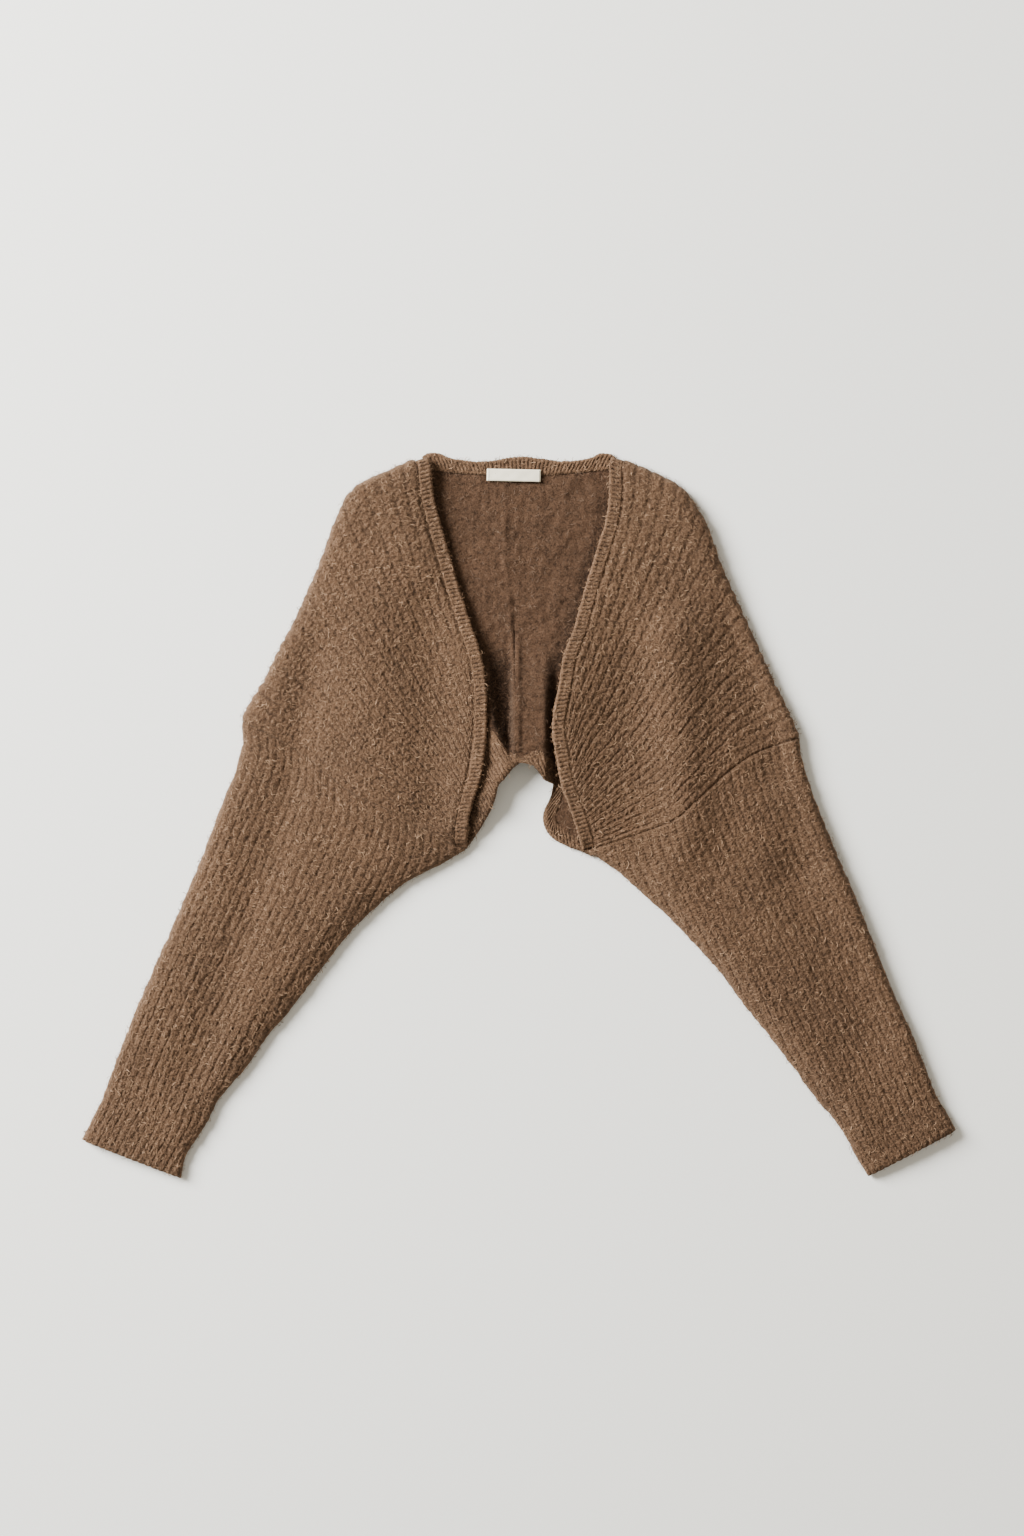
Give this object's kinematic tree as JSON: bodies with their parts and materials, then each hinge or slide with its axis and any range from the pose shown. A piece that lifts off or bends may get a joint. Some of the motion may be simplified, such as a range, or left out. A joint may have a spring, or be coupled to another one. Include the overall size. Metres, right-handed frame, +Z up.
{
  "type": "knitted shrug",
  "caption": "Cropped open-front knitted shrug with long tapered sleeves, laid flat; it covers the shoulders, upper back and arms of its wearer.",
  "frame": {"origin": "middle of the garment's outline, on the surface that it lies on", "axes": "+X to the right of the picture, +Y towards the neck, +Z up off the surface"},
  "size_m": [0.8276, 0.6858, 0.0327],
  "materials": {
    "knit": "brushed, fuzzy, heathered brown rib knit",
    "label": "plain off-white woven tape"
  },
  "bodies": {
    "root": {"front_left": "knit", "front_right": "knit", "back_left": "knit", "back_right": "knit", "sleeve_left": "knit", "sleeve_right": "knit", "band_front_left": "knit", "band_front_right": "knit", "band_neck": "knit", "band_hem": "knit", "label": "label"}
  },
  "joints": []
}
